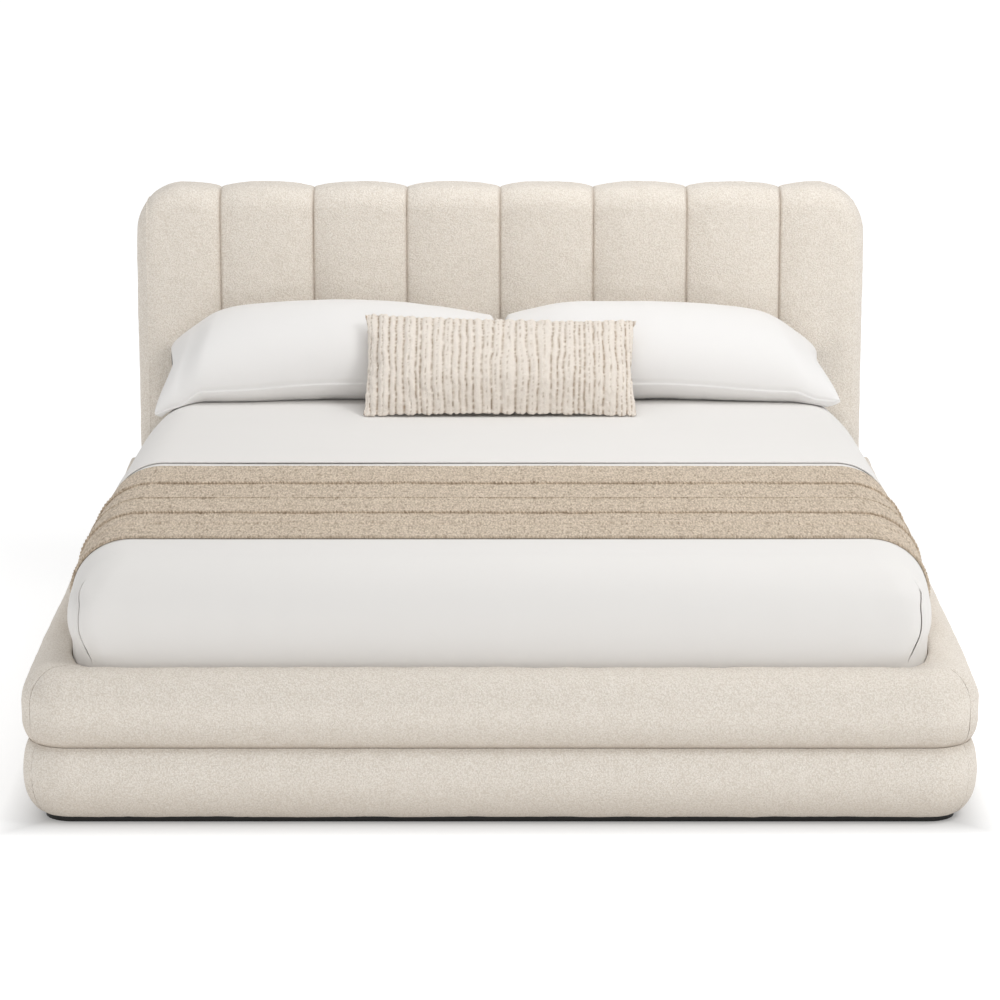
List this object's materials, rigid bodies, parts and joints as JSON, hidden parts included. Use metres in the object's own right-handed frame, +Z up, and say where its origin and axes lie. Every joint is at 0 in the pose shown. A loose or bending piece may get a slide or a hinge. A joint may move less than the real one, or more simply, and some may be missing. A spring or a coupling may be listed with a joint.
{
  "type": "upholstered headboard bed",
  "caption": "King-size upholstered platform bed: two stacked boucle rolls on a plinth, channelled headboard, slat deck, dressed mattress, pillows, cushion and runner.",
  "frame": {"origin": "on the floor under the middle of the bed's bounding box", "axes": "+Z up, +Y from the foot of the bed to the headboard, +X across the bed to the right seen from the foot"},
  "size_m": [2.16, 2.29, 1.107],
  "materials": {
    "boucle_upholstery": "cream boucle, matt, small curled loops",
    "pine_timber": "planed pine, unfinished",
    "plywood_board": "plywood, unfinished",
    "black_painted_wood": "satin black paint",
    "back_cover_cloth": "plain weave, matt",
    "zinc_steel": "zinc plated, satin",
    "mattress_ticking": "quilted knit ticking, matt",
    "white_percale": "smooth cotton, matt",
    "tan_knit": "slub weave with raised ribs, matt",
    "cream_knit": "fuzzy ribbed yarn, matt"
  },
  "bodies": {
    "bed_frame": {"center_beam": "pine_timber", "center_leg_1": "black_painted_wood", "center_leg_2": "black_painted_wood", "center_leg_3": "black_painted_wood", "corner_block_left": "pine_timber", "corner_block_right": "pine_timber", "corner_bracket_left": "zinc_steel", "corner_bracket_right": "zinc_steel", "foot_rail": "pine_timber", "head_rail": "pine_timber", "headboard_back_cover": "back_cover_cloth", "headboard_bolt_left": "zinc_steel", "headboard_bolt_right": "zinc_steel", "headboard_bottom_rail": "pine_timber", "headboard_center_stile": "pine_timber", "headboard_channel_1": "boucle_upholstery", "headboard_channel_2": "boucle_upholstery", "headboard_channel_3": "boucle_upholstery", "headboard_channel_4": "boucle_upholstery", "headboard_channel_5": "boucle_upholstery", "headboard_channel_6": "boucle_upholstery", "headboard_channel_7": "boucle_upholstery", "headboard_channel_8": "boucle_upholstery", "headboard_lower_pad": "boucle_upholstery", "headboard_panel": "plywood_board", "headboard_stile_left": "pine_timber", "headboard_stile_right": "pine_timber", "headboard_top_rail": "pine_timber", "lower_roll_foot": "boucle_upholstery", "lower_roll_left": "boucle_upholstery", "lower_roll_right": "boucle_upholstery", "plinth_back": "black_painted_wood", "plinth_front": "black_painted_wood", "plinth_left": "black_painted_wood", "plinth_right": "black_painted_wood", "side_rail_left": "pine_timber", "side_rail_right": "pine_timber", "slat_01": "pine_timber", "slat_02": "pine_timber", "slat_03": "pine_timber", "slat_04": "pine_timber", "slat_05": "pine_timber", "slat_06": "pine_timber", "slat_07": "pine_timber", "slat_08": "pine_timber", "slat_09": "pine_timber", "slat_10": "pine_timber", "slat_11": "pine_timber", "slat_ledger_left": "pine_timber", "slat_ledger_right": "pine_timber", "upper_roll_foot": "boucle_upholstery", "upper_roll_left": "boucle_upholstery", "upper_roll_right": "boucle_upholstery"},
    "mattress": {"mattress": "mattress_ticking", "coverlet": "white_percale", "sheet_cuff": "white_percale"},
    "throw_runner": {"throw_runner": "tan_knit"},
    "pillow_left": {"pillow_left": "white_percale"},
    "pillow_right": {"pillow_right": "white_percale"},
    "lumbar_cushion": {"lumbar_cushion": "cream_knit"}
  },
  "joints": [
    {"name": "mattress_lift", "type": "slide", "parent": "bed_frame", "child": "mattress", "axis": [0, 0, 1], "range_m": [0, 0.25]},
    {"name": "runner_lift", "type": "slide", "parent": "mattress", "child": "throw_runner", "axis": [0, 0, 1], "range_m": [0, 0.3]},
    {"name": "cushion_lift", "type": "slide", "parent": "mattress", "child": "lumbar_cushion", "axis": [0, 0, 1], "range_m": [0, 0.3]},
    {"name": "pillow_left_pull", "type": "slide", "parent": "mattress", "child": "pillow_left", "axis": [-1, 0, 0], "range_m": [0, 0.3]},
    {"name": "pillow_right_pull", "type": "slide", "parent": "mattress", "child": "pillow_right", "axis": [1, 0, 0], "range_m": [0, 0.3]}
  ]
}
